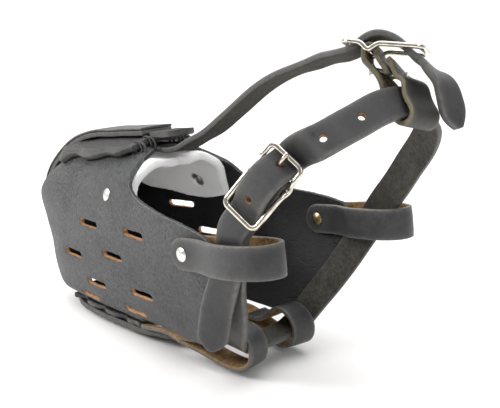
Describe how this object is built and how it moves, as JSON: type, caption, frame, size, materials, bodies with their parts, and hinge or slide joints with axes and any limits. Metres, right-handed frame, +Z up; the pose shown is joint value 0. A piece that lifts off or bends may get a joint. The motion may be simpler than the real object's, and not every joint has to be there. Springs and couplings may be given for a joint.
{
  "type": "basket muzzle",
  "caption": "Closed leather working muzzle for a large dog: vented shell, felt nose bridge, chin plate, cheek keepers, buckled neck and forehead straps",
  "frame": {"origin": "centre of the bounding box, on the ground the chin plate rests on", "axes": "+Z up, +Y from the nose towards the neck, +X the dog's left side, which is the side with the neck buckle"},
  "size_m": [0.1438, 0.3499, 0.2124],
  "materials": {
    "shell_leather": "black grained leather, satin",
    "strap_leather": "black bridle leather, waxed, burnished edges",
    "felt": "white pressed wool felt",
    "thread": "waxed black linen thread",
    "rivet_metal": "nickel plated tubular rivet",
    "buckle_metal": "polished nickel plate"
  },
  "bodies": {
    "muzzle_body": {"bridge_lacing": "thread", "bridge_plate": "shell_leather", "bridge_tab": "strap_leather", "chin_loop_rivets": "rivet_metal", "chin_plate": "shell_leather", "crown_tab": "strap_leather", "crown_tab_rivet": "rivet_metal", "forehead_strap": "strap_leather", "left_chin_loop": "strap_leather", "left_chin_rivets": "rivet_metal", "left_chin_welt": "shell_leather", "left_keeper_rivet": "rivet_metal", "left_nose_rivet": "rivet_metal", "left_side_panel": "shell_leather", "neck_fold_rivet": "rivet_metal", "neck_strap": "strap_leather", "nose_felt_lining": "felt", "nose_strap": "strap_leather", "right_chin_loop": "strap_leather", "right_chin_rivets": "rivet_metal", "right_chin_welt": "shell_leather", "right_keeper_rivet": "rivet_metal", "right_nose_rivet": "rivet_metal", "right_side_panel": "shell_leather"},
    "left_keeper": {"left_cheek_keeper": "strap_leather"},
    "right_keeper": {"right_cheek_keeper": "strap_leather"},
    "neck_buckle": {"neck_buckle_frame": "buckle_metal"},
    "neck_tongue": {"neck_buckle_tongue": "buckle_metal"},
    "crown_buckle": {"crown_buckle_frame": "buckle_metal"},
    "crown_tongue": {"crown_buckle_tongue": "buckle_metal"},
    "neck_tail": {"neck_strap_tail": "strap_leather"},
    "forehead_tail": {"forehead_strap_tail": "strap_leather"}
  },
  "joints": [
    {"name": "left_keeper_pivot", "type": "hinge", "parent": "muzzle_body", "child": "left_keeper", "pos_m": [0.05959, 0.04825, 0.0838], "axis": [1, 0, 0], "range_deg": [-4, 4]},
    {"name": "right_keeper_pivot", "type": "hinge", "parent": "muzzle_body", "child": "right_keeper", "pos_m": [-0.05959, 0.04825, 0.0838], "axis": [1, 0, 0], "range_deg": [-4, 1.2]},
    {"name": "neck_buckle_rock", "type": "hinge", "parent": "muzzle_body", "child": "neck_buckle", "pos_m": [0.04942, 0.10729, 0.13621], "axis": [-0.1531, 0.8134, -0.5612], "range_deg": [-2, 2]},
    {"name": "neck_tongue_lift", "type": "hinge", "parent": "neck_buckle", "child": "neck_tongue", "pos_m": [0.04942, 0.10729, 0.13621], "axis": [-0.1531, 0.8134, -0.5612], "range_deg": [0, 5]},
    {"name": "crown_buckle_rock", "type": "hinge", "parent": "muzzle_body", "child": "crown_buckle", "pos_m": [-0.00429, 0.12827, 0.19882], "axis": [-0.8714, -0.4058, -0.2758], "range_deg": [-2, 2]},
    {"name": "crown_tongue_lift", "type": "hinge", "parent": "crown_buckle", "child": "crown_tongue", "pos_m": [-0.00429, 0.12827, 0.19882], "axis": [-0.8714, -0.4058, -0.2758], "range_deg": [0, 5]},
    {"name": "neck_tail_flex", "type": "hinge", "parent": "muzzle_body", "child": "neck_tail", "pos_m": [0.06033, 0.07839, 0.06833], "axis": [0.3118, -0.8705, 0.3808], "range_deg": [0, 12]},
    {"name": "forehead_tail_flex", "type": "hinge", "parent": "muzzle_body", "child": "forehead_tail", "pos_m": [-0.01611, 0.15965, 0.18905], "axis": [0.8365, 0.5248, 0.1576], "range_deg": [0, 15]}
  ]
}
